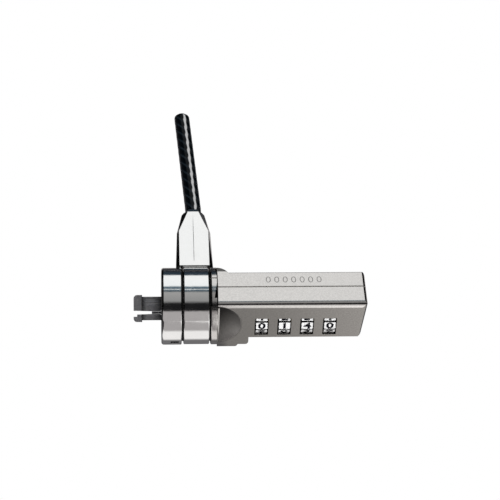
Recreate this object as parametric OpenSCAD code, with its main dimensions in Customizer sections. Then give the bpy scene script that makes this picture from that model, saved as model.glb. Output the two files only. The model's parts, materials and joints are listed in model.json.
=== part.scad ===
// Four-dial cable lock with a pair of spreading claws.
// X runs along the body, away from the computer. Z is up, -Y is the dial side.
// The origin is the centre of the nose face, on the axis of knob and collar.

/* [Nose] */
// Radius of the knob, the collar and the housing flange
ring_r = 11; // [10.5:0.1:11.5]
// Length of the nose knob
knob_len = 5.75; // [5.5:0.05:5.9]
// Gap between knob and collar, filled by a recessed washer
knob_gap = 0.55; // [0.5:0.05:0.8]
// Length of the swivel collar
collar_len = 7.3; // [7.2:0.1:7.4]
// Gap between collar and flange, filled by a recessed washer
collar_gap = 0.4; // [0.35:0.05:0.5]
// How far the washers sit below the ring surface
washer_step = 1; // [0.6:0.1:1.6]

/* [Claws] */
// Width of a claw, for a security slot 3 mm wide
claw_w = 2.9; // [2.6:0.1:2.9]
// Angle at which the pair of claws is set about the nose axis, in degrees
claw_tilt = 45; // [0:5:45]
// How far the split between the claws sits below the nose axis
claw_drop = 1.8; // [1.7:0.05:1.8]
// How far a claw reaches in front of the nose face
claw_reach = 7.9; // [7.4:0.1:8.2]
// Distance from the nose face to the back of the hook
hook_back = 5.5; // [5:0.1:5.8]
// Height of the hook above the shank, upper and lower claw
hook_h = [0.5, 0.5]; // [0.4:0.1:0.6]
// Outer face of a spread shank from the split, upper and lower claw
shank_out = [4.55, 2.15]; // [2.1:0.05:4.55]

/* [Housing] */
// Far end of the housing at its top face
body_end = 58.7; // [58.5:0.1:60]
// Half of the housing depth
body_y = 6.45; // [6.4:0.05:6.6]
// Top face height
body_top = 7.3; // [7.3:0.1:7.6]
// Bottom face depth, below the axis
body_bottom = 6.7; // [6.7:0.05:6.9]
// Place of the parting plane between the shells
split_y = 0.5; // [0.4:0.1:0.6]
// Thickness of the flange
flange_t = 2; // [1.9:0.1:2.2]

/* [Dials] */
// Number of dials
dial_count = 4; // [4:1:4]
// Centre of the first dial
dial_x = 28.6; // [28.4:0.1:28.8]
// Distance between dial centres
dial_pitch = 6.5; // [6.4:0.05:6.6]
// Distance from the dial axis to a digit flat
dial_flat = 4.4; // [4.3:0.05:4.4]
// Length of a dial
dial_len = 3.7; // [3.5:0.05:3.7]
// Height of the dial axis, from the nose axis
dial_z = -1.6; // [-1.6:0.05:-1.5]
// Depth of the dial axis, from the nose axis
dial_y = -2.7; // [-2.75:0.05:-2.65]

/* [Cable] */
// Radius of the vinyl sheath
cable_r = 2.4; // [2.2:0.05:2.4]
// Radius of the steel rope
rope_r = 1.4; // [1.2:0.05:1.5]
// Distance from the nose axis to the cut end of the cable
cable_end = 83; // [60:1:120]
// Distance from the nose axis to the mouth of the cable socket
socket_end = 36.8; // [36:0.1:37]
// Width of the cable socket where it meets the collar
socket_w = 10.8; // [10:0.1:10.8]

/* [Hidden] */
$fn = 64;
run = 0.05;                                  // running clearance on a radius
eps = 0.01;
collar_x0 = knob_len + knob_gap;
collar_x1 = collar_x0 + collar_len;
collar_mid = (collar_x0 + collar_x1) / 2;
flange_x0 = collar_x1 + collar_gap;
flange_x1 = flange_x0 + flange_t;
travel = 3;                                  // plunger stroke
knob_turn = 90;                              // knob angle for a full stroke
barrel_r = 5.5;
barrel_x0 = 0.3;
barrel_head_r = 6.1;
barrel_flange_r = 6.2;
barrel_flange_x = flange_x0 + 0.6;
barrel_flange_t = 0.9;
barrel_x1 = barrel_flange_x + barrel_flange_t;
barrel_key = [0.9, 1.5, 7.2];                // thickness, width, height from the axis
slot_z = [-4.3, 3.1];                        // claw slot in the barrel, from the axis
hub_r = 6.9;                                 // knob hub, which carries the collar
hub_x1 = flange_x0 - 0.2;
plunger_r = 3;
plunger_x0 = 6;
plunger_x1 = 20.2;
blade_x0 = -2.7;
blade_t = 0.6;
follower_x = 9.5;
follower_r = 0.7;
follower_gap = 0.1;
pivot_x = 1.5;
pivot_z = [2.5, 1.3];                        // pivots from the split, upper and lower claw
pivot_r = 0.45;
lip_x = -2.5;
lip_z = 0.4;                                 // inner face at the lip, claws spread
lip_slope = 2;                               // how the inner face opens towards the hook
claw_relief = 0.75;                          // inner face behind the lips
relief_x = -0.1;
claw_tail = 4.4;
tail_step = 0.3;                             // outer face steps in behind the pivot
sleeve_r = 2.5;
sleeve_bore = 2;
sleeve_half = 2.4;
sleeve_web = 1;
spindle_r = 1.2;
spindle_x1 = 51.8;
fin_r = 1.85;
fin_half = 0.6;
plate_t = 1.5;
plate_y = [-3.9, 2];
plate_z = 2.9;
plate_room = plunger_x1 + plate_t + travel + 1;
pocket_r = 4.7;
pocket_half = 1.95;
window_z = [-5.4, 1.1];
spring_r = 1.0;
spring_wire = 0.22;
spring_x1 = 56;
chamber_r = fin_r + 0.1;
reset_y = 3.6;
reset_z = 1.4;
reset_r = 2;
screw_r = 0.7;
screw_head_r = 1.3;
screw_head_t = 1.1;
screw_tip_y = -4;
screw_places = [[23, 5.1], [54, 5.1], [54, -4.9], [19.6, -6]];   // x and z of each screw
ferrule_r = 3.15;
ferrule_y = [14.5, 21.9];
seat_r = cable_r - 0.4;                      // sheath where the socket squeezes it
socket_shoulder = 22;
dome_fillet = 5;
end_draft = 5.5;                               // slope of the end face, in degrees

function dial_at(i) = dial_x + i * dial_pitch;

// Round bar along X.
module bar_x(x0, x1, r, y = 0, z = 0) {
    translate([x0, y, z]) rotate([0, 90, 0]) cylinder(h = x1 - x0, r = r);
}

// Round bar along Y.
module bar_y(y0, y1, r, x = 0, z = 0) {
    translate([x, y0, z]) rotate([-90, 0, 0]) cylinder(h = y1 - y0, r = r);
}

// Block from two corners.
module block(a, b) {
    translate(a) cube(b - a);
}

// Ring along X.
module ring_x(x0, x1, r_out, r_in) {
    difference() {
        bar_x(x0, x1, r_out);
        bar_x(x0 - 1, x1 + 1, r_in);
    }
}

// Ring along X with both outer edges rounded, by one radius in front and another behind.
module soft_ring(x0, x1, r_out, r_in, edge, far_edge) {
    mid = (x0 + x1) / 2;
    rotate([0, 90, 0]) rotate_extrude()
        union() {
            translate([r_in, x0 + edge]) square([r_out - r_in, x1 - x0 - edge - far_edge]);
            translate([r_in, x0]) square([r_out - edge - r_in, mid - x0]);
            translate([r_in, mid]) square([r_out - far_edge - r_in, x1 - mid]);
            translate([r_out - edge, x0 + edge]) circle(r = edge, $fn = 32);
            translate([r_out - far_edge, x1 - far_edge]) circle(r = far_edge, $fn = 32);
        }
}

// Waste of a rounded corner at the origin whose material lies in the first quadrant.
module edge_waste(r) {
    difference() {
        translate([-1, -1]) square(r + 1);
        translate([r, r]) circle(r = r);
    }
}

// Cross-section of the housing, drawn with Y across and Z up.
module housing_section() {
    soft = 0.5;
    low = 0.6;
    difference() {
        translate([-body_y, -body_bottom]) square([2 * body_y, body_top + body_bottom]);
        translate([body_y, body_top]) rotate(180) edge_waste(soft);
        translate([-body_y, -body_bottom]) edge_waste(low);
        translate([body_y, -body_bottom]) rotate(90) edge_waste(low);
    }
}

// Long square part of the housing with its sloping, rounded end.
module housing_bar() {
    edge = 1.5;
    end_bottom = body_end - (body_top + body_bottom) * tan(end_draft);
    difference() {
        translate([flange_x1 - eps, 0, 0]) rotate([90, 0, 90])
            linear_extrude(body_end - flange_x1 + eps) housing_section();
        translate([body_end, 0, body_top]) rotate([0, end_draft, 0]) {
            translate([0, -10, -20]) cube([5, 20, 30]);
            rotate([90, 0, 0]) translate([0, 0, -10]) linear_extrude(20) rotate(180) edge_waste(edge);
        }
        translate([end_bottom, 0, -body_bottom]) rotate([90, end_draft, 0])
            translate([0, 0, -10]) linear_extrude(20) rotate(90) edge_waste(edge);
        for (side = [-1, 1])
            translate([body_end, side * body_y, body_top]) rotate([0, end_draft, 0])
                translate([0, 0, -20]) linear_extrude(30) rotate(side > 0 ? 180 : 90) edge_waste(edge);
    }
}

// Round shoulder behind the flange, cut flat where the housing faces are.
module shoulder() {
    intersection() {
        rotate([0, 90, 0]) rotate_extrude() {
            translate([ring_r - dome_fillet, flange_x1 - 0.2]) circle(r = dome_fillet);
            translate([0, flange_x1 - 1]) square([ring_r - dome_fillet, dome_fillet - 0.2]);
        }
        block([flange_x1 - eps, -body_y, -ring_r - 1], [flange_x1 + 8, ring_r + 1, body_top]);
    }
}

// Rounded lobe under the housing.
module lobe(x1, depth, half_y) {
    r = 1.6;
    difference() {
        block([flange_x1 - eps, -half_y, -depth], [x1, half_y, -body_bottom + 2]);
        translate([x1, half_y + 1, -depth]) rotate([90, 0, 0])
            linear_extrude(2 * half_y + 2) rotate(90) edge_waste(r);
        for (side = [-1, 1])
            translate([flange_x1 - 1, side * half_y, -depth]) rotate([90, 0, 90])
                linear_extrude(x1) rotate(side > 0 ? 90 : 0) edge_waste(0.6);
    }
}

// Wedge-shaped reliefs where the flange meets the top face.
module flange_reliefs() {
    depth = 1.5;
    x1 = flange_x1 - 0.1;
    for (span = [[split_y + 0.9, body_y - 0.5], [split_y - 0.9, -body_y + 0.6]])
        translate([0, 0, body_top - depth]) linear_extrude(8)
            polygon([[x1, span[0]], [x1, span[1]], [x1 - 0.85, span[1]]]);
}

// Fine groove along the parting line, over flange, top, end and bottom.
module seam() {
    half = 0.18;
    depth = 0.4;
    low = split_y - half;
    high = split_y + half;
    block([flange_x0 - 1, low, ring_r - depth], [flange_x1 + 1, high, ring_r + 1]);
    block([flange_x1 + 0.2, low, body_top - depth], [body_end + 1, high, body_top + 1]);
    block([24, low, -body_bottom - 1], [body_end + 1, high, -body_bottom + depth]);
    translate([body_end, 0, body_top]) rotate([0, end_draft, 0])
        block([-depth, low, -20], [1, high, 1]);
}

// Shell outside, with the finger scoop beside the flange.
module housing_outside() {
    brow = 1.7;
    scoop_w = 7.1;                            // radius of the scoop's rim on the front face
    scoop_d = 2.6;
    scoop_r = (scoop_w * scoop_w + scoop_d * scoop_d) / (2 * scoop_d);
    scoop = [flange_x1 - 0.5, scoop_d - body_y - scoop_r, -1];
    difference() {
        union() {
            soft_ring(flange_x0, flange_x1 + eps, ring_r, 1, 0.35, 0.35);
            bar_x(flange_x0, flange_x1, 2);
            shoulder();
            housing_bar();
            lobe(25, 9.6, body_y);
            lobe(22, 10.9, body_y - 0.4);
        }
        intersection() {
            translate(scoop) rotate([0, 90, 0]) sphere(r = scoop_r);
            block([flange_x1 + 0.5, -30, -20], [40, 0, 20]);
        }
        translate([flange_x1, -body_y, body_top]) rotate([90, 0, 90])
            linear_extrude(body_end) rotate(-90) edge_waste(brow);
        flange_reliefs();
        seam();
    }
}

// Everything that is hollow inside the housing.
module housing_inside() {
    bar_x(flange_x0 - 1, barrel_x1 + run, barrel_r);
    bar_x(barrel_flange_x - run, barrel_flange_x + barrel_flange_t + run, barrel_flange_r + run);
    block([barrel_flange_x - run, -barrel_key[1] / 2 - run, 0],
          [barrel_flange_x + barrel_flange_t + run, barrel_key[1] / 2 + run, barrel_key[2] + run]);
    bar_x(barrel_x1, plunger_x1 + travel + 0.1, plunger_r + run);
    block([plunger_x1 - 0.2, plate_y[0] - 0.2, -plate_z - 0.2],
          [plate_room, plate_y[1] + 0.2, plate_z + 0.2]);
    bar_x(plate_room - 1, dial_at(0), spindle_r + run, dial_y, dial_z);
    bar_x(dial_at(0) - sleeve_half - run, dial_at(dial_count - 1) + sleeve_half + run,
          sleeve_r + run, dial_y, dial_z);
    for (i = [0 : dial_count - 1]) {
        bar_x(dial_at(i) - pocket_half, dial_at(i) + pocket_half, pocket_r, dial_y, dial_z);
        block([dial_at(i) - pocket_half, dial_y, dial_z - pocket_r],
              [dial_at(i) + pocket_half, 2.6, dial_z + pocket_r]);
        block([dial_at(i) - pocket_half, -body_y - 1, window_z[0]],
              [dial_at(i) + pocket_half, dial_y - 2, window_z[1]]);
    }
    block([dial_at(0) - 3, split_y - eps, -3], [dial_at(dial_count - 1) + 3, 3.6, 5.6]);
    bar_x(dial_at(dial_count - 1), spring_x1 + run, chamber_r, dial_y, dial_z);
    bar_x(53, body_end + 1, reset_r + run, reset_y, reset_z);
}

// The four screw holes: tapped in the front shell, clear with a seat in the rear shell.
module screw_holes(clear) {
    for (p = screw_places) {
        bar_y(screw_tip_y, body_y + 1, screw_r + (clear ? run : 0), p[0], p[1]);
        bar_y(body_y - screw_head_t - 0.2, 20, screw_head_r + 0.1, p[0], p[1]);
    }
}

module front_shell() {
    color("gray") difference() {
        intersection() {
            housing_outside();
            block([0, -30, -30], [80, split_y, 30]);
        }
        housing_inside();
        screw_holes(false);
    }
}

module rear_shell() {
    color("darkgray") difference() {
        intersection() {
            housing_outside();
            block([0, split_y, -30], [80, 30, 30]);
        }
        housing_inside();
        screw_holes(true);
    }
}

module shell_screws() {
    color("silver") for (p = screw_places) {
        difference() {
            union() {
                bar_y(screw_tip_y, body_y - screw_head_t, screw_r, p[0], p[1]);
                bar_y(body_y - screw_head_t - 0.2, body_y - 0.2, screw_head_r, p[0], p[1]);
            }
            translate([p[0], body_y - 0.2, p[1]]) rotate([0, 30, 0])
                cube([0.45, 0.9, 4], center = true);
        }
    }
}

// The two pivot bars of the claws.
module pivots(half_len) {
    rotate([-claw_tilt, 0, 0]) for (z = [pivot_z[0] - claw_drop, -pivot_z[1] - claw_drop])
        bar_y(-half_len, half_len, pivot_r, pivot_x, z);
}

// Fixed tube that carries knob and claws and is held by the housing flange.
module barrel() {
    color("dimgray") difference() {
        union() {
            bar_x(barrel_x0, barrel_x1, barrel_r);
            bar_x(barrel_x0, barrel_x0 + 0.7, barrel_head_r);
            bar_x(barrel_flange_x, barrel_flange_x + barrel_flange_t, barrel_flange_r);
            block([barrel_flange_x, -barrel_key[1] / 2, 0],
                  [barrel_flange_x + barrel_key[0], barrel_key[1] / 2, barrel_key[2]]);
        }
        bar_x(plunger_x0 - 0.3, barrel_x1 + 1, plunger_r + run);
        rotate([-claw_tilt, 0, 0])
            block([-1, -claw_w / 2 - 0.1, slot_z[0]], [plunger_x0, claw_w / 2 + 0.1, slot_z[1]]);
        block([follower_x - follower_r - run, -follower_r - run, -8],
              [follower_x + travel + follower_r + run, follower_r + run, 8]);
        pivots(3.8);
    }
}

module claw_pins() {
    color("silver") pivots(3.75);
}

// Knob with the hub that carries the collar; its helical slots drive the follower pin.
module nose_knob() {
    slot_steps = 18;
    mark_angle = 23;
    color("silver") difference() {
        union() {
            soft_ring(0, knob_len, ring_r, hub_r - 1, 0.7, 0.25);
            ring_x(0.1, hub_x1, hub_r, barrel_r + run);
        }
        bar_x(-1, knob_len, barrel_r + run);
        bar_x(-1, barrel_x0 + 0.7 + run, barrel_head_r + run);
        for (k = [0 : slot_steps])
            translate([follower_x + travel * k / slot_steps, 0, 0])
                rotate([-knob_turn * k / slot_steps, 0, 0])
                    cylinder(h = 20, r = follower_r + follower_gap, center = true);
        rotate([mark_angle, 0, 0])
            block([2.5, -ring_r - 1, -0.7], [5, -ring_r + 0.5, 0.7]);
    }
}

module knob_washer() {
    color("black") ring_x(knob_len + run, collar_x0 - run, ring_r - washer_step, hub_r + run);
}

module collar_washer() {
    color("black") ring_x(collar_x1 + run, flange_x0 - run, ring_r - washer_step, hub_r + run);
}

// Cross-section of the cable socket at one distance along the cable.
module socket_slice(y, width, flat, height, edge) {
    translate([collar_mid - 0.2, y, 0]) rotate([90, 0, 0]) linear_extrude(0.01)
        polygon([[-flat / 2, height], [flat / 2, height], [width / 2, height - edge],
                 [width / 2, edge - height], [flat / 2, -height], [-flat / 2, -height],
                 [-width / 2, edge - height], [-width / 2, height - edge]]);
}

// Collar ring and cable socket, one casting.
module swivel_collar() {
    mouth_w = 5.7;
    neck_y = socket_end - 9.8;
    color("silver") difference() {
        union() {
            soft_ring(collar_x0, collar_x1, ring_r - 0.1, hub_r + run, 0.3, 0.3);
            hull() {
                socket_slice(12.24, socket_w - 0.6, socket_w - 2.3, 3.6, 1);
                socket_slice(12.6, socket_w, socket_w - 2.1, 4, 1.1);
                socket_slice(neck_y, socket_w - 0.9, socket_w - 2.1, 4, 1.1);
            }
            hull() {
                socket_slice(neck_y, socket_w - 0.9, socket_w - 2.1, 4, 1.1);
                socket_slice(socket_end - 1.4, 6.8, 3.2, 3.9, 1.6);
                socket_slice(socket_end, mouth_w, 2.2, 3.5, 1.7);
            }
            block([collar_x0 + 0.4, 9, -3.4], [collar_x1 - 0.4, 12.2, 3.4]);
        }
        bar_x(collar_x0 - 1, collar_x1 + 1, hub_r + run);
        bar_y(0, socket_shoulder, ferrule_r + run, collar_mid);
        bar_y(socket_shoulder - 1, socket_end + 1, seat_r + run, collar_mid);
    }
}

module cable_ferrule() {
    color("goldenrod") difference() {
        bar_y(ferrule_y[0], ferrule_y[1], ferrule_r, collar_mid);
        bar_y(ferrule_y[0] - 1, ferrule_y[1] + 1, rope_r + run, collar_mid);
    }
}

module cable_core() {
    color("lightgray") bar_y(ferrule_y[0], cable_end, rope_r, collar_mid);
}

module cable_sheath() {
    color("black") difference() {
        union() {
            bar_y(socket_shoulder + run, socket_end + 0.1, seat_r, collar_mid);
            bar_y(socket_end + 0.1, cable_end - 0.4, cable_r, collar_mid);
        }
        bar_y(0, cable_end + 1, rope_r + run, collar_mid);
    }
}

// Sliding plunger whose blade spreads the claws.
module plunger() {
    color("slategray") difference() {
        union() {
            bar_x(plunger_x0, plunger_x1, plunger_r);
            rotate([-claw_tilt, 0, 0])
                block([blade_x0, -claw_w / 2 + run, -claw_drop - blade_t / 2],
                      [plunger_x0 + 1, claw_w / 2 - run, -claw_drop + blade_t / 2]);
        }
        translate([follower_x, 0, 0]) cylinder(h = 20, r = follower_r, center = true);
        bar_x(plunger_x1 - 4, plunger_x1 + 1, screw_r);
    }
}

module follower_pin() {
    color("silver") translate([follower_x, 0, 0])
        cylinder(h = 2 * hub_r - 0.2, r = follower_r, center = true);
}

// Code spindle with one fin for each dial, on an offset plate.
module code_spindle() {
    color("slategray") difference() {
        union() {
            block([plunger_x1 + eps, plate_y[0], -plate_z],
                  [plunger_x1 + plate_t, plate_y[1], plate_z]);
            bar_x(plunger_x1 + plate_t - eps, spindle_x1, spindle_r, dial_y, dial_z);
            for (i = [0 : dial_count - 1])
                block([dial_at(i) - fin_half, dial_y - 0.5, dial_z],
                      [dial_at(i) + fin_half, dial_y + 0.5, dial_z + fin_r]);
        }
        bar_x(plunger_x1 - 1, plunger_x1 + plate_t + 1, screw_r + run);
    }
}

module plate_screw() {
    color("silver") difference() {
        union() {
            bar_x(plunger_x1 - 3.8, plunger_x1 + plate_t + eps, screw_r);
            bar_x(plunger_x1 + plate_t + eps, plunger_x1 + plate_t + 0.8, screw_head_r);
        }
        translate([plunger_x1 + plate_t + 0.8, 0, 0]) cube([0.7, 0.4, 4], center = true);
    }
}

// One claw as it stands when the claws are spread, drawn upwards from the split.
module claw(out, hook, pivot) {
    nose = 1;
    shank_w = claw_w - 0.4;
    difference() {
        union() {
            block([-claw_reach + 1, -shank_w / 2, lip_z], [pivot_x, shank_w / 2, out]);
            block([pivot_x - 1, -shank_w / 2, lip_z], [claw_tail, shank_w / 2, out - tail_step]);
            block([-claw_reach, -claw_w / 2, lip_z], [-hook_back, claw_w / 2, out + hook]);
        }
        block([relief_x, -5, 0], [claw_tail + 1, 5, claw_relief]);
        translate([lip_x, -5, lip_z]) rotate([0, lip_slope, 0]) translate([-20, 0, -5]) cube([20, 10, 5]);
        translate([-claw_reach, 5, out + hook]) rotate([90, 0, 0]) linear_extrude(10)
            rotate(-90) edge_waste(nose);
        bar_y(-5, 5, pivot_r + run, pivot_x, pivot);
    }
}

// Upper claw, with two grooves along its sides.
module upper_claw() {
    groove = 0.3;
    color("darkslategray") rotate([-claw_tilt, 0, 0]) translate([0, 0, -claw_drop]) difference() {
        claw(shank_out[0], hook_h[0], pivot_z[0]);
        for (side = [-1, 1], z = [2.3, 3.4])
            translate([-hook_back, side * (claw_w / 2 - 0.2), z]) rotate([45, 0, 0])
                translate([0, -groove / 2, -groove / 2]) cube([10, groove, groove]);
    }
}

module lower_claw() {
    tip = 1;                                 // the lower tip is cut back beside the split
    color("darkslategray") rotate([-claw_tilt, 0, 0]) translate([0, 0, -claw_drop]) difference() {
        mirror([0, 0, 1]) claw(shank_out[1], hook_h[1], pivot_z[1]);
        block([-claw_reach - 1, -5, -1.2], [-claw_reach + tip, 5, 0]);
    }
}

// Dial with ten raised digit flats; the digit in the window is tipped up a little.
module dial(i) {
    lead = -8;
    core_r = dial_flat - 0.5;
    pad_w = 2.6;
    color("white") difference() {
        union() {
            bar_x(dial_at(i) - dial_len / 2, dial_at(i) + dial_len / 2, core_r, dial_y, dial_z);
            for (k = [0 : 9])
                translate([dial_at(i), dial_y, dial_z]) rotate([36 * k + lead, 0, 0])
                    block([-1.6, -dial_flat, -pad_w / 2], [1.6, -dial_flat + 1, pad_w / 2]);
        }
        bar_x(dial_at(i) - 5, dial_at(i) + 5, sleeve_r + run, dial_y, dial_z);
    }
}

module dial_1() { dial(0); }
module dial_2() { dial(1); }
module dial_3() { dial(2); }
module dial_4() { dial(3); }

// Code sleeve: its web blocks the spindle fin unless the notch is in line with it.
module code_sleeve(i) {
    color("peru") difference() {
        bar_x(dial_at(i) - sleeve_half, dial_at(i) + sleeve_half, sleeve_r, dial_y, dial_z);
        bar_x(dial_at(i) - 5, dial_at(i) + sleeve_half - 0.2 - sleeve_web, sleeve_bore, dial_y, dial_z);
        bar_x(dial_at(i) + sleeve_half - 0.2, dial_at(i) + 5, sleeve_bore, dial_y, dial_z);
        bar_x(dial_at(i) - 5, dial_at(i) + 5, spindle_r + run, dial_y, dial_z);
        block([dial_at(i), dial_y - 0.65, dial_z], [dial_at(i) + 5, dial_y + 0.65, dial_z + 1.95]);
    }
}

module code_sleeve_1() { code_sleeve(0); }
module code_sleeve_2() { code_sleeve(1); }
module code_sleeve_3() { code_sleeve(2); }
module code_sleeve_4() { code_sleeve(3); }

// Spring comb with one finger behind each dial.
module detent_spring() {
    bump_r = 0.5;
    reach = norm([dial_flat, 1.3]) + 0.07 + bump_r;
    bump_y = dial_y + reach * cos(18);
    bump_z = dial_z + reach * sin(18);
    color("silver") {
        block([dial_at(0) - 2.6, 3.15, 3.4], [dial_at(dial_count - 1) + 2.6, 3.45, 5.4]);
        for (i = [0 : dial_count - 1]) {
            block([dial_at(i) - 1.1, 3.15, bump_z - 1.2], [dial_at(i) + 1.1, 3.45, 3.6]);
            block([dial_at(i) - 1.1, bump_y, bump_z - 0.25], [dial_at(i) + 1.1, 3.3, bump_z + 0.25]);
            bar_x(dial_at(i) - 1.1, dial_at(i) + 1.1, bump_r, bump_y, bump_z);
        }
    }
}

// Return spring behind the spindle, drawn as a stack of coils joined by a thin tube.
module spindle_spring() {
    coils = 5;
    x0 = spindle_x1 + 0.05;
    step = (spring_x1 - x0 - 2 * spring_wire) / (coils - 1);
    color("silver") union() {
        for (k = [0 : coils - 1])
            translate([x0 + spring_wire + k * step, dial_y, dial_z]) rotate([0, 90, 0])
                rotate_extrude() translate([spring_r, 0]) circle(r = spring_wire, $fn = 16);
        for (k = [0 : coils - 2])
            translate([x0 + spring_wire + k * step, dial_y, dial_z]) rotate([180 * k, 0, 0])
                bar_x(0, step, spring_wire * 0.7, 0, spring_r);
    }
}

module reset_screw() {
    x1 = body_end - 1.25;
    color("silver") difference() {
        union() {
            bar_x(x1 - 1.6, x1, reset_r, reset_y, reset_z);
            bar_x(53.6, x1 - 1.5, reset_r - 0.6, reset_y, reset_z);
        }
        translate([x1, reset_y, reset_z]) cube([1.4, 0.7, 6], center = true);
    }
}

front_shell();
rear_shell();
shell_screws();
barrel();
claw_pins();
detent_spring();
spindle_spring();
reset_screw();
nose_knob();
knob_washer();
swivel_collar();
collar_washer();
cable_ferrule();
cable_core();
cable_sheath();
plunger();
follower_pin();
code_spindle();
plate_screw();
upper_claw();
lower_claw();
dial_1();
dial_2();
dial_3();
dial_4();
code_sleeve_1();
code_sleeve_2();
code_sleeve_3();
code_sleeve_4();
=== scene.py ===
"""Looks of the four-dial cable lock: materials, number flats, cable, light and camera."""
import json
import math

import bmesh
import bpy
from mathutils import Matrix, Vector


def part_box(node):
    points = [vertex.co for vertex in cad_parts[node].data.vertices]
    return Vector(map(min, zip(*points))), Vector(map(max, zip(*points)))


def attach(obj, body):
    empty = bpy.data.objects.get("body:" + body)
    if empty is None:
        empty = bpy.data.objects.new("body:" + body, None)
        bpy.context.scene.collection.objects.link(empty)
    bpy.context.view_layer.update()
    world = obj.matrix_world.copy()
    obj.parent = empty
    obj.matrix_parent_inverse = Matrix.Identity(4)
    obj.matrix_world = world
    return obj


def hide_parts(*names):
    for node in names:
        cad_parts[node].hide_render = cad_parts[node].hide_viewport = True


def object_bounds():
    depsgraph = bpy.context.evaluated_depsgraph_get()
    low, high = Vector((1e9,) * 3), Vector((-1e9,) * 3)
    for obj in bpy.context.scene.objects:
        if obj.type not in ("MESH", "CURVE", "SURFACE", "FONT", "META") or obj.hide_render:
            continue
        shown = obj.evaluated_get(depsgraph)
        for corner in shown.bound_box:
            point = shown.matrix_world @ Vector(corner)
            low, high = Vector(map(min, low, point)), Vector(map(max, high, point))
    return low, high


MM = 0.001

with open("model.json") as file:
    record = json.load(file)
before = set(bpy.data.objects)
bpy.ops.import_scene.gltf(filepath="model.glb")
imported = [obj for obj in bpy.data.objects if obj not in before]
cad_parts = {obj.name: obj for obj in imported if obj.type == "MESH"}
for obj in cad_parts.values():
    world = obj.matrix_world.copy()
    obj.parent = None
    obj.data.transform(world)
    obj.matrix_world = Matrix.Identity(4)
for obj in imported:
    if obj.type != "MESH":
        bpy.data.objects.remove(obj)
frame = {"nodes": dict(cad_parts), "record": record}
cad_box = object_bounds()

# ---------------------------------------------------------------- sizes read from the frame

DIAL_NODES = ["dial_1", "dial_2", "dial_3", "dial_4"]
SHOWN_DIGITS = [0, 1, 4, 0]
SERIAL = "0000000"

joint = {j["name"]: j for j in frame["record"]["behaviour"]["joints"]}


def node_box(name):
    low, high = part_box(name)
    return Vector(low), Vector(high)


def dial_axis(name):
    """Centre of a dial on its own axis."""
    return Vector(joint[name + "_turn"]["pos_m"])


sheath_low, sheath_high = node_box("cable_sheath")
CABLE_X = (sheath_low.x + sheath_high.x) / 2
CABLE_Z = (sheath_low.z + sheath_high.z) / 2
CABLE_R = (sheath_high.x - sheath_low.x) / 2
CABLE_Y = (sheath_low.y, sheath_high.y)
FLOOR_Z = cad_box[0][2] - 0.02 * MM
SHELL_BAR_X = 30 * MM                        # past the scoop, where the housing is a plain bar


def bar_reach(name, axis, pick):
    """Least or greatest coordinate of a shell where it is a plain bar."""
    return pick(v.co[axis] for v in frame["nodes"][name].data.vertices if v.co.x > SHELL_BAR_X)


BODY_TOP = bar_reach("rear_shell", 2, max)
FACE_Y = bar_reach("front_shell", 1, min)
BACK_Y = bar_reach("rear_shell", 1, max)
SCOOP_RIM = 7.1 * MM
SCOOP_DEPTH = 2.6 * MM
SCOOP_R = (SCOOP_RIM ** 2 + SCOOP_DEPTH ** 2) / (2 * SCOOP_DEPTH)
SCOOP_CENTRE = (15.5 * MM, FACE_Y + SCOOP_DEPTH - SCOOP_R, -1 * MM)
# painted shade: the finger scoop is darkest beside the flange and lighter towards its lower right
SCOOP_SKIN = (0.08 * MM, 0.35 * MM)          # distance from the scoop's sphere over which its tint fades out
SCOOP_LIGHT_END = (0.8, 0, -0.6)             # direction in which the scoop gets lighter
SCOOP_SLANT = (12 * MM, 20 * MM)             # places of the dark and the light end in that direction
SCOOP_SHADES = (0.14, 0.66)                  # grey factor at its dark and at its light end
# painted shade on the dome behind the flange
DOME_FADE = 0.5 * MM
DOME_SHADE = 0.5
LINE_X = CABLE_X - 0.3 * MM                  # faint moulding line on top of the cable socket
LINE_HALF = (0.05 * MM, 0.14 * MM)           # full tint inside the first, none outside the second
LINE_TOP = (3.9 * MM, 3.98 * MM)
LINE_START = (14 * MM, 14.5 * MM)
LINE_SHADE = 0.55
# painted shade on the claws: a painted shadow on the step behind each hook, and darker roots where the knob
# shades them
HOOK_END = (-5.9 * MM, -5.5 * MM)            # claws along X: the hooks end,
ARM_START = (-5.3 * MM, -4.2 * MM)           # the arms get lighter behind the dark step
ARM_ROOT = (-2.4 * MM, -0.2 * MM)            # and darker again towards the knob
STEP_SHADE, ROOT_SHADE = 0.3, 0.35
ARM_GAIN = 0.6                               # how much lighter the arm is than the step
DULLEST = 1.05                               # a shaded place is at least this rough, less its grey factor
STRAND_MARK = "strand"                       # mesh attribute: 1 over a strand, 0 between two
HIGHLIGHT_TILT = (-0.27, 0, 0)               # tips the vinyl's normals, so its highlight moves to the right

# ---------------------------------------------------------------- shader helpers


def new_material(name):
    mat = bpy.data.materials.new(name)
    mat.use_nodes = True
    tree = mat.node_tree
    tree.nodes.clear()
    out = tree.nodes.new("ShaderNodeOutputMaterial")
    shader = tree.nodes.new("ShaderNodeBsdfPrincipled")
    tree.links.new(shader.outputs["BSDF"], out.inputs["Surface"])
    return mat, tree, shader


def add(tree, kind, **settings):
    node = tree.nodes.new(kind)
    for key, value in settings.items():
        if key in node.inputs:
            node.inputs[key].default_value = value
        else:
            setattr(node, key, value)
    return node


def object_coords(tree, stretch=(1, 1, 1)):
    """Object coordinates, stretched so that a pattern runs along one axis."""
    coords = tree.nodes.new("ShaderNodeTexCoord")
    mapping = tree.nodes.new("ShaderNodeMapping")
    mapping.inputs["Scale"].default_value = stretch
    tree.links.new(coords.outputs["Object"], mapping.inputs["Vector"])
    return mapping.outputs["Vector"]


def noise(tree, vector, scale, detail=3.0, rough=0.55):
    node = tree.nodes.new("ShaderNodeTexNoise")
    node.inputs["Scale"].default_value = scale
    node.inputs["Detail"].default_value = detail
    node.inputs["Roughness"].default_value = rough
    tree.links.new(vector, node.inputs["Vector"])
    return node.outputs["Fac"]


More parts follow.
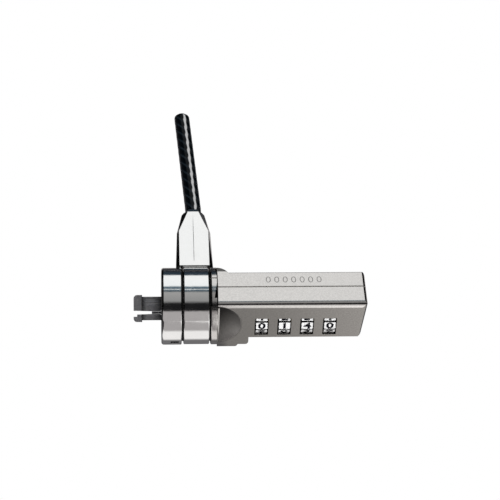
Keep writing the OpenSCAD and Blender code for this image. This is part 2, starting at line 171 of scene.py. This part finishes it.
def spread(tree, value, low, high):
    """Maps a noise value to a range."""
    node = tree.nodes.new("ShaderNodeMapRange")
    node.inputs["From Min"].default_value = 0.3
    node.inputs["From Max"].default_value = 0.7
    node.inputs["To Min"].default_value = low
    node.inputs["To Max"].default_value = high
    tree.links.new(value, node.inputs["Value"])
    return node.outputs["Result"]


def mix_colour(tree, factor, dark, light):
    node = tree.nodes.new("ShaderNodeMix")
    node.data_type = "RGBA"
    node.inputs[6].default_value = (*dark, 1)
    node.inputs[7].default_value = (*light, 1)
    tree.links.new(factor, node.inputs[0])
    return node.outputs[2]


def bump(tree, shader, height, depth, normal=None):
    node = tree.nodes.new("ShaderNodeBump")
    node.inputs["Distance"].default_value = depth
    node.inputs["Strength"].default_value = 1
    tree.links.new(height, node.inputs["Height"])
    if normal is not None:
        tree.links.new(normal, node.inputs["Normal"])
    tree.links.new(node.outputs["Normal"], shader.inputs["Normal"])
    return node


def soft_edges(tree, radius):
    node = tree.nodes.new("ShaderNodeBevel")
    node.samples = 6
    node.inputs["Radius"].default_value = radius
    return node.outputs["Normal"]


def multiply(tree, first, second):
    """Product of two colours."""
    node = add(tree, "ShaderNodeMix", data_type="RGBA", blend_type="MULTIPLY")
    node.inputs[0].default_value = 1
    tree.links.new(first, node.inputs[6])
    tree.links.new(second, node.inputs[7])
    return node.outputs[2]


def product(tree, *factors):
    """Product of two or more numbers."""
    result = factors[0]
    for factor in factors[1:]:
        node = add(tree, "ShaderNodeMath", operation="MULTIPLY")
        tree.links.new(result, node.inputs[0])
        tree.links.new(factor, node.inputs[1])
        result = node.outputs[0]
    return result


def distance_from(tree, value, place):
    """How far a number is from a fixed one."""
    off = add(tree, "ShaderNodeMath", operation="SUBTRACT")
    off.inputs[1].default_value = place
    tree.links.new(value, off.inputs[0])
    size = add(tree, "ShaderNodeMath", operation="ABSOLUTE")
    tree.links.new(off.outputs[0], size.inputs[0])
    return size.outputs[0]


def place_axes(tree):
    """Object coordinates as three separate numbers."""
    split = add(tree, "ShaderNodeSeparateXYZ")
    tree.links.new(tree.nodes.new("ShaderNodeTexCoord").outputs["Object"], split.inputs[0])
    return split.outputs


def map_range(tree, value, from_low, from_high, to_low, to_high):
    node = tree.nodes.new("ShaderNodeMapRange")
    node.inputs["From Min"].default_value = from_low
    node.inputs["From Max"].default_value = from_high
    node.inputs["To Min"].default_value = to_low
    node.inputs["To Max"].default_value = to_high
    tree.links.new(value, node.inputs["Value"])
    return node.outputs["Result"]


def scoop_shade(tree):
    """Painted shade: grey factor that darkens the finger scoop, most beside the flange, and the dome behind
    the flange.
    """
    coords = tree.nodes.new("ShaderNodeTexCoord").outputs["Object"]
    reach = add(tree, "ShaderNodeVectorMath", operation="DISTANCE")
    tree.links.new(coords, reach.inputs[0])
    reach.inputs[1].default_value = SCOOP_CENTRE
    from_wall = distance_from(tree, reach.outputs["Value"], SCOOP_R)
    inside = map_range(tree, from_wall, *SCOOP_SKIN, 1, 0)
    slant = add(tree, "ShaderNodeVectorMath", operation="DOT_PRODUCT")
    tree.links.new(coords, slant.inputs[0])
    slant.inputs[1].default_value = SCOOP_LIGHT_END
    depth = map_range(tree, slant.outputs["Value"], *SCOOP_SLANT, *SCOOP_SHADES)
    pick = add(tree, "ShaderNodeMix", data_type="FLOAT")
    pick.inputs[2].default_value = 1
    tree.links.new(inside, pick.inputs[0])
    tree.links.new(depth, pick.inputs[3])
    dome = map_range(tree, place_axes(tree)["Y"], BACK_Y, BACK_Y + DOME_FADE, 1, DOME_SHADE)
    return product(tree, pick.outputs[0], dome)


def socket_line(tree):
    """Grey factor for the faint moulding line along the middle of the cable socket."""
    axes = place_axes(tree)
    from_line = distance_from(tree, axes["X"], LINE_X)
    middle = map_range(tree, from_line, *LINE_HALF, 1, 0)
    top = map_range(tree, axes["Z"], *LINE_TOP, 0, 1)
    far = map_range(tree, axes["Y"], *LINE_START, 0, 1)
    patchy = noise(tree, object_coords(tree), 600, 3)
    return map_range(tree, product(tree, middle, top, far, patchy), 0, 0.6, 1, LINE_SHADE)


def claw_shade(tree):
    """Painted shade for the claws: a grey factor with lighter hooks, a painted shadow on the step behind them
    and darker, shaded roots in the knob.
    """
    along = place_axes(tree)["X"]
    hook = map_range(tree, along, *HOOK_END, 1, STEP_SHADE)
    arm = map_range(tree, along, *ARM_START, 0, ARM_GAIN)
    root = map_range(tree, along, *ARM_ROOT, 1, ROOT_SHADE)
    hook_and_arm = add(tree, "ShaderNodeMath", operation="ADD")
    tree.links.new(hook, hook_and_arm.inputs[0])
    tree.links.new(arm, hook_and_arm.inputs[1])
    return product(tree, hook_and_arm.outputs[0], root)


def metal(name, dark, light, rough, grain_scale, grain_depth, stretch=(1, 1, 1), edge=0.0, wear=400,
          shade=None):
    """Metal with a grain bump, a cloudy tint, uneven roughness and, where asked, a grey factor that darkens
    and dulls it: painted shade in the scoop, on the dome and on the claws, a darker moulding line on the
    socket.
    """
    mat, tree, shader = new_material(name)
    shader.inputs["Metallic"].default_value = 1
    vector = object_coords(tree, stretch)
    grain = noise(tree, vector, grain_scale, 4)
    cloud = noise(tree, object_coords(tree), wear, 5)
    tint = mix_colour(tree, cloud, dark, light)
    if shade is not None:
        tint = multiply(tree, tint, shade(tree))
    tree.links.new(tint, shader.inputs["Base Color"])
    roughness = spread(tree, cloud, rough[0], rough[1])
    if shade is not None:
        dull = add(tree, "ShaderNodeMath", operation="SUBTRACT")
        dull.inputs[0].default_value = DULLEST
        tree.links.new(shade(tree), dull.inputs[1])
        duller = add(tree, "ShaderNodeMath", operation="MAXIMUM")
        tree.links.new(roughness, duller.inputs[0])
        tree.links.new(dull.outputs[0], duller.inputs[1])
        roughness = duller.outputs[0]
    tree.links.new(roughness, shader.inputs["Roughness"])
    bump(tree, shader, grain, grain_depth, soft_edges(tree, edge) if edge else None)
    return mat


def plastic(name, dark, light, rough, scale, depth, shine=0.5):
    """Plastic with a cloudy tint, uneven roughness and a fine bump."""
    mat, tree, shader = new_material(name)
    vector = object_coords(tree)
    cloud = noise(tree, vector, scale, 4)
    tree.links.new(mix_colour(tree, cloud, dark, light), shader.inputs["Base Color"])
    tree.links.new(spread(tree, cloud, rough[0], rough[1]), shader.inputs["Roughness"])
    shader.inputs["Specular IOR Level"].default_value = shine
    bump(tree, shader, noise(tree, vector, scale * 4), depth)
    return mat


# ---------------------------------------------------------------- materials

# the satin nickel carries painted shade in the scoop and on the dome
satin = metal("satin_nickel", (0.50, 0.485, 0.47), (0.79, 0.77, 0.745), (0.1, 0.17), 3000, 0.012 * MM,
              edge=0.12 * MM, wear=2000, shade=scoop_shade)
polished = metal("polished_nickel", (0.82, 0.82, 0.815), (0.92, 0.92, 0.91), (0.07, 0.13), 1300, 0.008 * MM,
                 stretch=(0.5, 1, 1), edge=0.08 * MM, shade=socket_line)
# the claw steel carries the claws' painted shade
gunmetal = metal("dark_claw_steel", (0.45, 0.48, 0.54), (1.0, 1.0, 1.0), (0.4, 0.5), 1500, 0.05 * MM,
                 stretch=(0.04, 1, 1), edge=0.12 * MM, wear=1500, shade=claw_shade)
steel = metal("turned_steel", (0.38, 0.38, 0.40), (0.52, 0.52, 0.53), (0.22, 0.34), 3000, 0.004 * MM,
              stretch=(1, 0.1, 0.1))
bright_steel = metal("bright_steel", (0.52, 0.52, 0.54), (0.66, 0.66, 0.67), (0.18, 0.3), 2600, 0.003 * MM)
brass = metal("turned_brass", (0.60, 0.42, 0.18), (0.74, 0.56, 0.28), (0.2, 0.34), 3000, 0.003 * MM)
strand = metal("rope_strand", (0.42, 0.43, 0.45), (0.60, 0.61, 0.63), (0.25, 0.4), 3800, 0.01 * MM)
washer = plastic("black_washer", (0.002, 0.002, 0.002), (0.006, 0.006, 0.006), (0.5, 0.6), 1200, 0.01 * MM,
                 shine=0.15)
dial_black = plastic("dial_black", (0.003, 0.003, 0.003), (0.007, 0.007, 0.008), (0.35, 0.5), 1500,
                     0.006 * MM, shine=0.2)
flat_white = plastic("digit_flat_white", (0.78, 0.79, 0.80), (0.88, 0.88, 0.87), (0.3, 0.45), 1500,
                     0.006 * MM)
ink = plastic("digit_ink", (0.002, 0.002, 0.004), (0.006, 0.006, 0.01), (0.4, 0.5), 1800, 0.004 * MM,
              shine=0.1)
# darker metal for the serial: painted shade of the stamped digits
engraving = metal("engraved_shade", (0.36, 0.35, 0.34), (0.5, 0.49, 0.47), (0.35, 0.5), 4000, 0.01 * MM)


def smoke_vinyl():
    """Dark clear vinyl: the strands show faintly through it, and its highlight sits right of the middle."""
    mat, tree, shader = new_material("smoke_vinyl")
    strands = add(tree, "ShaderNodeAttribute", attribute_name=STRAND_MARK)
    cloud = noise(tree, object_coords(tree), 700, 4)
    faint = add(tree, "ShaderNodeMath", operation="MULTIPLY")
    tree.links.new(strands.outputs["Fac"], faint.inputs[0])
    tree.links.new(cloud, faint.inputs[1])
    tree.links.new(mix_colour(tree, faint.outputs[0], (0.002, 0.004, 0.006), (0.04, 0.06, 0.08)),
                   shader.inputs["Base Color"])
    tree.links.new(spread(tree, cloud, 0.05, 0.1), shader.inputs["Roughness"])
    shader.inputs["IOR"].default_value = 2.4
    shader.inputs["Coat Weight"].default_value = 1
    shader.inputs["Coat Roughness"].default_value = 0.05
    shader.inputs["Coat IOR"].default_value = 4
    tilt = add(tree, "ShaderNodeVectorMath", operation="ADD")
    tree.links.new(tree.nodes.new("ShaderNodeNewGeometry").outputs["Normal"], tilt.inputs[0])
    tilt.inputs[1].default_value = HIGHLIGHT_TILT
    even = add(tree, "ShaderNodeVectorMath", operation="NORMALIZE")
    tree.links.new(tilt.outputs[0], even.inputs[0])
    wave = bump(tree, shader, cloud, 0.03 * MM, even.outputs[0])
    tree.links.new(wave.outputs["Normal"], shader.inputs["Coat Normal"])
    return mat


vinyl = smoke_vinyl()

NODE_MATERIALS = {
    "front_shell": satin, "rear_shell": satin, "nose_knob": polished, "swivel_collar": polished,
    "upper_claw": gunmetal, "lower_claw": gunmetal, "barrel": steel, "plunger": steel, "code_spindle": steel,
    "shell_screws": bright_steel, "claw_pins": bright_steel, "detent_spring": bright_steel,
    "spindle_spring": bright_steel, "reset_screw": bright_steel, "follower_pin": bright_steel,
    "plate_screw": bright_steel, "knob_washer": washer, "collar_washer": washer, "cable_ferrule": brass,
    "cable_core": strand, "cable_sheath": vinyl,
}
for index in range(1, 5):
    NODE_MATERIALS[f"dial_{index}"] = dial_black
    NODE_MATERIALS[f"code_sleeve_{index}"] = brass

for name, mat in NODE_MATERIALS.items():
    node = frame["nodes"][name]
    if not node.material_slots:
        node.data.materials.append(mat)
    for place in node.material_slots:
        place.material = mat


# ---------------------------------------------------------------- mesh helpers


def mesh_object(name, verts, faces, mat, smooth=True):
    mesh = bpy.data.meshes.new(name)
    mesh.from_pydata(verts, [], faces)
    mesh.materials.append(mat)
    obj = bpy.data.objects.new(name, mesh)
    bpy.context.scene.collection.objects.link(obj)
    fill = bmesh.new()
    fill.from_mesh(mesh)
    bmesh.ops.recalc_face_normals(fill, faces=fill.faces)
    fill.to_mesh(mesh)
    fill.free()
    for face in mesh.polygons:
        face.use_smooth = smooth
    return obj


def text_mesh(name, words, size, depth, mat, spacing=1.0, widen=1.0, bold=0.0):
    """A word as a closed mesh in the XY plane, centred on the origin, rising along +Z."""
    curve = bpy.data.curves.new(name, "FONT")
    curve.body = words
    curve.size = size
    curve.align_x = "CENTER"
    curve.align_y = "CENTER"
    curve.space_character = spacing
    curve.extrude = depth / 2
    curve.offset = bold
    curve.resolution_u = 6
    holder = bpy.data.objects.new(name + "_curve", curve)
    bpy.context.scene.collection.objects.link(holder)
    graph = bpy.context.evaluated_depsgraph_get()
    mesh = bpy.data.meshes.new_from_object(holder.evaluated_get(graph))
    bpy.data.objects.remove(holder)
    bpy.data.curves.remove(curve)
    low = [min(v.co[k] for v in mesh.vertices) for k in range(2)]
    high = [max(v.co[k] for v in mesh.vertices) for k in range(2)]
    shift = Matrix.Translation((-(low[0] + high[0]) / 2, -(low[1] + high[1]) / 2, depth / 2))
    mesh.transform(Matrix.Diagonal((widen, 1, 1, 1)) @ shift)
    mesh.materials.clear()
    mesh.materials.append(mat)
    obj = bpy.data.objects.new(name, mesh)
    bpy.context.scene.collection.objects.link(obj)
    return obj


def join(objects, name):
    """Joins meshes that share one material into one object."""
    whole = bmesh.new()
    for obj in objects:
        part = obj.data.copy()
        part.transform(obj.matrix_world if obj.matrix_world != Matrix() else obj.matrix_basis)
        whole.from_mesh(part)
        bpy.data.meshes.remove(part)
    mesh = bpy.data.meshes.new(name)
    whole.to_mesh(mesh)
    whole.free()
    mesh.materials.append(objects[0].data.materials[0])
    for obj in objects:
        bpy.data.objects.remove(obj)
    result = bpy.data.objects.new(name, mesh)
    bpy.context.scene.collection.objects.link(result)
    return result


# ---------------------------------------------------------------- number flats on the dials

DIGITS_ROUND = 10
FLAT_LENGTH = 3.2 * MM
FLAT_HEIGHT = 2.3 * MM
DIGIT_SIZE = 2.8 * MM
DIGIT_WIDEN = 1.5
DIGIT_BOLD = 0.1 * MM
PAINT = 0.03 * MM
PLATE_CORNER = 0.2 * MM
DIAL_LEAD = math.radians(8)                  # the digit in the window is tipped up by this
FLAT_OUT = Vector((0, -math.cos(DIAL_LEAD), math.sin(DIAL_LEAD)))
DIAL_FLAT = max((v.co - dial_axis("dial_1")).dot(FLAT_OUT) for v in frame["nodes"]["dial_1"].data.vertices)


def rounded_plate(name, length, height, thick, corner, mat):
    """Thin plate in the XY plane with round corners, rising along +Z."""
    outline = []
    for cx, cy, start in ((1, 1, 0), (-1, 1, 90), (-1, -1, 180), (1, -1, 270)):
        for step in range(5):
            angle = math.radians(start + 22.5 * step)
            outline.append((cx * (length / 2 - corner) + corner * math.cos(angle),
                            cy * (height / 2 - corner) + corner * math.sin(angle)))
    count = len(outline)
    verts = [(x, y, z) for z in (0, thick) for x, y in outline]
    faces = [list(range(count))[::-1], list(range(count, 2 * count))]
    faces += [(k, (k + 1) % count, (k + 1) % count + count, k + count) for k in range(count)]
    return mesh_object(name, verts, faces, mat, smooth=False)


def on_flat(centre, turn, lift):
    """Matrix that puts an XY drawing on the digit flat that stands turn radians above the front one."""
    front = Matrix(((1, 0, 0, 0), (0, 0, -1, 0), (0, 1, 0, 0), (0, 0, 0, 1)))
    out = Matrix.Translation((0, -(DIAL_FLAT + lift), 0))
    return Matrix.Translation(centre) @ Matrix.Rotation(-turn, 4, "X") @ out @ front


for name, shown in zip(DIAL_NODES, SHOWN_DIGITS):
    plates, digits = [], []
    for step in range(DIGITS_ROUND):
        turn = 2 * math.pi * step / DIGITS_ROUND + DIAL_LEAD
        value = (shown + step) % DIGITS_ROUND
        plate = rounded_plate("plate", FLAT_LENGTH, FLAT_HEIGHT, PAINT, PLATE_CORNER, flat_white)
        plate.matrix_world = on_flat(dial_axis(name), turn, 0)
        plates.append(plate)
        digit = text_mesh("digit", str(value), DIGIT_SIZE, PAINT, ink, widen=DIGIT_WIDEN, bold=DIGIT_BOLD)
        digit.matrix_world = on_flat(dial_axis(name), turn, PAINT)
        digits.append(digit)
    bpy.context.view_layer.update()
    for piece in (join(plates, name + "_flats"), join(digits, name + "_digits")):
        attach(piece, name)

# ---------------------------------------------------------------- black plate on the floor of the knob's slot

MARK_ANGLE = math.radians(23)
MARK_X = 3.75 * MM
MARK_FLOOR = 10.5 * MM                       # from the nose axis
MARK_LENGTH, MARK_WIDTH, MARK_THICK = 2.3 * MM, 1.2 * MM, 0.12 * MM

mark = rounded_plate("knob_slot_plate", MARK_LENGTH, MARK_WIDTH, MARK_THICK, PLATE_CORNER, ink)
mark.matrix_world = (Matrix.Rotation(MARK_ANGLE, 4, "X") @ Matrix.Translation((MARK_X, -MARK_FLOOR, 0))
                     @ Matrix.Rotation(math.pi / 2, 4, "X"))
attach(mark, "knob")

# ---------------------------------------------------------------- serial digits on the top face

SERIAL_SIZE = 3.4 * MM
SERIAL_RISE = 0.01 * MM
SERIAL_SPACING = 1.43
SERIAL_BOLD = -0.05 * MM
SERIAL_PLACE = (37.9 * MM, 3.3 * MM, BODY_TOP)

# the serial is a thin sheet of darker metal on the top face: painted shade of the stamped digits
serial = text_mesh("serial_digits", SERIAL, SERIAL_SIZE, SERIAL_RISE, engraving, spacing=SERIAL_SPACING,
                   bold=SERIAL_BOLD)
serial.matrix_world = Matrix.Translation(SERIAL_PLACE)
bpy.context.view_layer.update()
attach(serial, "housing")

# ---------------------------------------------------------------- cable

STRANDS = 6
LAY = 22 * MM                                # length in which a strand winds round once
WAVE = 0.02 * MM                             # how far a strand lifts the sheath
STRAND_R = 0.46 * MM
STRAND_RING = 0.93 * MM                      # radius on which the strands lie
AROUND_SHEATH = 96
AROUND_STRAND = 14
MOUTH_Y = node_box("swivel_collar")[1].y
LEAN = 0.065
LEAN_START = 5 * MM
SEAT_R = 2 * MM                              # sheath where the socket squeezes it
SHEATH_BORE = 1.45 * MM


def sag(y):
    """Sideways drift of the cable behind the socket: it eases into a steady lean."""
    past = max(0.0, y - MOUTH_Y)
    return -LEAN * (past * past / (2 * LEAN_START) if past < LEAN_START else past - LEAN_START / 2)


def stations(y0, y1, step=0.5 * MM):
    """Even steps along the cable."""
    count = round((y1 - y0) / step)
    return [y0 + (y1 - y0) * k / count for k in range(count + 1)]


def lobed_tube(rows, around=AROUND_SHEATH):
    """Sheath whose surface follows the strands under it; rows are (distance along the cable, radius)."""
    verts, faces = [], []
    for y, radius in rows:
        for k in range(around):
            angle = 2 * math.pi * k / around
            phase = STRANDS * (angle - 2 * math.pi * y / LAY)
            r = radius - WAVE + WAVE * math.cos(phase)
            verts.append((CABLE_X + sag(y) + r * math.cos(angle), y, CABLE_Z + r * math.sin(angle)))
    for row in range(len(rows) - 1):
        for k in range(around):
            a, b = row * around + k, row * around + (k + 1) % around
            faces.append((a, b, b + around, a + around))
    return verts, faces


def build_sheath():
    """Vinyl tube with closed ends, marked where strands lie under it."""
    around = AROUND_SHEATH
    rows = [(y, SEAT_R) for y in stations(CABLE_Y[0], MOUTH_Y + 0.05 * MM)]
    rows += [(y, CABLE_R) for y in stations(MOUTH_Y + 0.1 * MM, CABLE_Y[1])]
    verts, faces = lobed_tube(rows)
    base = len(verts)
    for y in (CABLE_Y[0], CABLE_Y[1]):
        for k in range(around):
            angle = 2 * math.pi * k / around
            verts.append((CABLE_X + sag(y) + SHEATH_BORE * math.cos(angle), y,
                          CABLE_Z + SHEATH_BORE * math.sin(angle)))
    last = base - around
    for k in range(around):
        n = (k + 1) % around
        faces.append((k, n, base + n, base + k))
        faces.append((last + k, last + n, base + around + n, base + around + k))
        faces.append((base + k, base + n, base + around + n, base + around + k))
    tube = mesh_object("cable_vinyl", verts, faces, vinyl)
    mark = tube.data.attributes.new(STRAND_MARK, "FLOAT", "POINT")
    for k, vertex in enumerate(verts[:base]):
        angle = 2 * math.pi * (k % around) / around
        mark.data[k].value = max(0.0, math.cos(STRANDS * (angle - 2 * math.pi * vertex[1] / LAY))) ** 3
    return tube


def build_rope():
    """Six strands wound round a straight one."""
    low, high = node_box("cable_core")
    around, step = AROUND_STRAND, 0.8 * MM
    rows = int((high.y - low.y) / step)
    verts, faces = [], []
    for s in range(STRANDS + 1):
        base = len(verts)
        off = 0 if s == STRANDS else STRAND_RING
        for row in range(rows + 1):
            y = low.y + (high.y - low.y) * row / rows
            angle = 2 * math.pi * (s / STRANDS + y / LAY)
            cx = CABLE_X + sag(y) + off * math.cos(angle)
            cz = CABLE_Z + off * math.sin(angle)
            for k in range(around):
                turn = 2 * math.pi * k / around
                verts.append((cx + STRAND_R * math.cos(turn), y, cz + STRAND_R * math.sin(turn)))
        for row in range(rows):
            for k in range(around):
                a, b = base + row * around + k, base + row * around + (k + 1) % around
                faces.append((a, b, b + around, a + around))
        faces.append(tuple(range(base, base + around)))
        faces.append(tuple(range(base + rows * around, base + (rows + 1) * around)))
    return mesh_object("cable_rope", verts, faces, strand)


vinyl_tube = build_sheath()
rope = build_rope()
for piece, node, word in ((vinyl_tube, "cable_sheath", "sheath"), (rope, "cable_core", "rope")):
    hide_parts(node)
    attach(piece, "collar")

# ---------------------------------------------------------------- stage, light and camera


def ramp_node(tree, value, low, high, stops):
    """Colour that follows a value between two limits; stops are (value, colour) pairs."""
    scale = add(tree, "ShaderNodeMapRange")
    scale.inputs["From Min"].default_value = low
    scale.inputs["From Max"].default_value = high
    tree.links.new(value, scale.inputs["Value"])
    ramp = tree.nodes.new("ShaderNodeValToRGB")
    tree.links.new(scale.outputs["Result"], ramp.inputs[0])
    places = [((at - low) / (high - low), colour) for at, colour in stops]
    bands = ramp.color_ramp
    for element, (at, colour) in zip(bands.elements, (places[0], places[-1])):
        element.position = at
        element.color = (*colour, 1)
    for at, colour in places[1:-1]:
        bands.elements.new(at).color = (*colour, 1)
    return ramp.outputs[0]


FLOOR_HALF = 3.0
CARD_LEFT, CARD_RIGHT = 22 * MM, 110 * MM
CARD_LOW, CARD_HIGH = -10.5 * MM, 48 * MM
CARD_Y = -120 * MM

GREY, BRIGHT, DARK = (0.42, 0.40, 0.40), (0.95, 0.93, 0.92), (0.05, 0.05, 0.055)
FACE_GREY = (0.31, 0.30, 0.29)
SHADOW = (0.17, 0.165, 0.17)
# What the metal mirrors in the floor, by place in mm: a painted reflection, with a painted shadow (SHADOW,
# DARK) under the lock. Along Y, under the rings and under the housing:
FLOOR_BY_RINGS = [(-100, GREY), (-32, GREY), (-26, BRIGHT), (-14, BRIGHT), (-12, SHADOW), (-8, SHADOW),
                  (-5, DARK), (10, DARK), (18, GREY), (45, GREY), (52, DARK), (100, DARK)]
FLOOR_BY_HOUSING = [(-100, BRIGHT), (-34, BRIGHT), (-29, FACE_GREY), (-7, FACE_GREY), (-3, DARK), (10, DARK),
                    (18, GREY), (50, GREY), (57, DARK), (100, DARK)]
# Along X, the share of the housing's floor and the brightness of both:
FLOOR_ACROSS = [(-100, (0, 0, 0)), (17.5, (0, 0, 0)), (19.5, (1, 1, 1)), (100, (1, 1, 1))]
FLOOR_LEVEL = [(-100, (0.05, 0.05, 0.05)), (-12, (0.1, 0.1, 0.1)), (-7, (1, 1, 1)), (16, (1, 1, 1)),
               (20, (0.85, 0.85, 0.85)), (35, (1, 1, 1)), (60, (1.45, 1.45, 1.45)), (82, (1.45, 1.45, 1.45)),
               (90, (0.05, 0.05, 0.05)), (100, (0.05, 0.05, 0.05))]


def build_floor():
    """Pale floor: white to the camera; to mirrors and bounced light it glows in banded greys, a painted
    reflection with a painted shadow under the lock.
    """
    half = FLOOR_HALF
    verts = [(-half, -half, FLOOR_Z), (half, -half, FLOOR_Z), (half, half, FLOOR_Z), (-half, half, FLOOR_Z)]
    mat, tree, shader = new_material("pale_floor")
    tree.nodes.remove(shader)
    out = tree.nodes["Material Output"]
    axes = place_axes(tree)
    across, along = axes["X"], axes["Y"]

    def floor_ramp(value, stops):
        in_metres = [(at * MM, colour) for at, colour in stops]
        return ramp_node(tree, value, in_metres[0][0], in_metres[-1][0], in_metres)

    by_rings = floor_ramp(along, FLOOR_BY_RINGS)
    by_housing = floor_ramp(along, FLOOR_BY_HOUSING)
    side = floor_ramp(across, FLOOR_ACROSS)
    level = floor_ramp(across, FLOOR_LEVEL)
    blend = add(tree, "ShaderNodeMix", data_type="RGBA")
    tree.links.new(side, blend.inputs[0])
    tree.links.new(by_rings, blend.inputs[6])
    tree.links.new(by_housing, blend.inputs[7])
    mirrored = add(tree, "ShaderNodeEmission")
    tree.links.new(multiply(tree, blend.outputs[2], level), mirrored.inputs["Color"])
    seen = add(tree, "ShaderNodeEmission")
    seen.inputs["Color"].default_value = (1, 1, 1, 1)
    path = tree.nodes.new("ShaderNodeLightPath")
    pick = tree.nodes.new("ShaderNodeMixShader")
    tree.links.new(path.outputs["Is Camera Ray"], pick.inputs[0])
    tree.links.new(mirrored.outputs[0], pick.inputs[1])
    tree.links.new(seen.outputs[0], pick.inputs[2])
    tree.links.new(pick.outputs[0], out.inputs["Surface"])
    floor = mesh_object("floor", verts, [(0, 1, 2, 3)], mat, smooth=False)


def build_card():
    """White card in front of the housing: the bright line along its rounded front edge."""
    corners = ((CARD_LEFT, CARD_LOW), (CARD_RIGHT, CARD_LOW), (CARD_RIGHT, CARD_HIGH), (CARD_LEFT, CARD_HIGH))
    verts = [(x, CARD_Y, z) for x, z in corners]
    mat, tree, shader = new_material("white_card")
    tree.nodes.remove(shader)
    glow = add(tree, "ShaderNodeEmission")
    glow.inputs["Color"].default_value = (1, 0.99, 0.98, 1)
    tree.links.new(glow.outputs[0], tree.nodes["Material Output"].inputs["Surface"])
    card = mesh_object("card", verts, [(0, 1, 2, 3)], mat, smooth=False)
    card.visible_camera = False
    card.visible_diffuse = False


# Brightness of the studio by height: the angle runs from the front horizon over the top to the back horizon.
STUDIO = [
    (0, GREY), (29, (0.43, 0.41, 0.41)), (33, (0.012, 0.012, 0.013)), (54, (0.013, 0.013, 0.014)),
    (62, (0.30, 0.30, 0.30)), (88, (0.38, 0.375, 0.37)), (92, (0.05, 0.08, 0.10)), (96, (0.06, 0.10, 0.13)),
    (97, (0.8, 0.82, 0.84)), (98.5, (0.8, 0.82, 0.84)), (99.5, (0.06, 0.10, 0.13)), (106, (0.12, 0.17, 0.21)),
    (110, (0.98, 1.0, 1.01)), (150, (1.02, 1.02, 1.02)), (156, (0.03, 0.05, 0.07)),
    (180, (0.02, 0.02, 0.025)),
]
# Share of that brightness by the sideways part of the direction: dark to the far left and right.
SIDEWAYS = [(-1, (0.02, 0.02, 0.02)), (-0.2, (0.02, 0.02, 0.02)), (-0.1, (1, 1, 1)), (0.18, (1, 1, 1)),
            (0.27, (0.02, 0.02, 0.02)), (1, (0.03, 0.03, 0.03))]
# Well in front of the lock it does not count: it fades in between these two Y parts of the direction.
SIDEWAYS_FADE = (-0.72, -0.62)


def build_world():
    """Studio that only mirrors and diffuse light see; the camera sees white."""
    world = bpy.data.worlds.new("studio")
    bpy.context.scene.world = world
    world.use_nodes = True
    tree = world.node_tree
    tree.nodes.clear()
    out = tree.nodes.new("ShaderNodeOutputWorld")
    coords = tree.nodes.new("ShaderNodeTexCoord")
    split = tree.nodes.new("ShaderNodeSeparateXYZ")
    tree.links.new(coords.outputs["Generated"], split.inputs[0])
    back = add(tree, "ShaderNodeMath", operation="MULTIPLY")
    back.inputs[1].default_value = -1
    tree.links.new(split.outputs["Y"], back.inputs[0])
    angle = add(tree, "ShaderNodeMath", operation="ARCTAN2")
    tree.links.new(split.outputs["Z"], angle.inputs[0])
    tree.links.new(back.outputs[0], angle.inputs[1])
    around = [(math.radians(at), colour) for at, colour in STUDIO]
    by_height = ramp_node(tree, angle.outputs[0], 0, math.pi, around)
    by_side = ramp_node(tree, split.outputs["X"], -1, 1, SIDEWAYS)
    sideways = add(tree, "ShaderNodeMix", data_type="RGBA")
    sideways.inputs[6].default_value = (1, 1, 1, 1)
    tree.links.new(map_range(tree, split.outputs["Y"], *SIDEWAYS_FADE, 0, 1), sideways.inputs[0])
    tree.links.new(by_side, sideways.inputs[7])
    studio = tree.nodes.new("ShaderNodeBackground")
    tree.links.new(multiply(tree, by_height, sideways.outputs[2]), studio.inputs[0])
    white = add(tree, "ShaderNodeBackground", Strength=1.0)
    white.inputs[0].default_value = (1, 1, 1, 1)
    path = tree.nodes.new("ShaderNodeLightPath")
    pick = tree.nodes.new("ShaderNodeMixShader")
    tree.links.new(path.outputs["Is Camera Ray"], pick.inputs[0])
    tree.links.new(studio.outputs[0], pick.inputs[1])
    tree.links.new(white.outputs[0], pick.inputs[2])
    tree.links.new(pick.outputs[0], out.inputs[0])


LIGHT_AIM = (0.03, 0, 0)


def area_light(name, place, size, power):
    """Soft light on the plastic parts; metal mirrors only the studio, not the lamp."""
    light = bpy.data.lights.new(name, "AREA")
    light.shape = "RECTANGLE"
    light.size, light.size_y = size
    light.energy = power
    obj = bpy.data.objects.new(name, light)
    obj.location = place
    obj.rotation_mode = "QUATERNION"
    obj.rotation_quaternion = (Vector(LIGHT_AIM) - Vector(place)).to_track_quat("-Z", "Y")
    obj.visible_glossy = False
    bpy.context.scene.collection.objects.link(obj)


CAMERA_AZIMUTH = -4.29
CAMERA_ELEVATION = 44.45
CAMERA_ROLL = 2.72
CAMERA_DISTANCE = 0.530
CAMERA_TARGET = Vector((25.85, 15.0, 7.7)) * MM
SENSOR_WIDTH = 36
FOCAL_LENGTH = 131.4


def build_camera():
    """Camera that looks at the target from above and in front."""
    azimuth, elevation, roll = (math.radians(a) for a in (CAMERA_AZIMUTH, CAMERA_ELEVATION, CAMERA_ROLL))
    forward = Vector((-math.sin(azimuth) * math.cos(elevation),
                      math.cos(azimuth) * math.cos(elevation), -math.sin(elevation)))
    level = Vector((math.cos(azimuth), math.sin(azimuth), 0))
    upright = level.cross(forward)
    right = math.cos(roll) * level + math.sin(roll) * upright
    up = -math.sin(roll) * level + math.cos(roll) * upright
    camera = bpy.data.cameras.new("camera")
    camera.sensor_width = SENSOR_WIDTH
    camera.lens = FOCAL_LENGTH
    camera.clip_start = 0.01
    obj = bpy.data.objects.new("camera", camera)
    bpy.context.scene.collection.objects.link(obj)
    turn = Matrix((right, up, -forward)).transposed().to_4x4()
    obj.matrix_world = Matrix.Translation(CAMERA_TARGET - forward * CAMERA_DISTANCE) @ turn
    bpy.context.scene.camera = obj


build_floor()
build_card()
build_world()
area_light("overhead_softbox", place=(0.05, 0.1, 0.6), size=(0.6, 0.3), power=2)
area_light("front_fill", place=(-0.2, -0.6, 0.35), size=(0.4, 0.4), power=5.5)
build_camera()

settings = bpy.context.scene.view_settings
settings.view_transform = "Standard"
settings.look = "None"
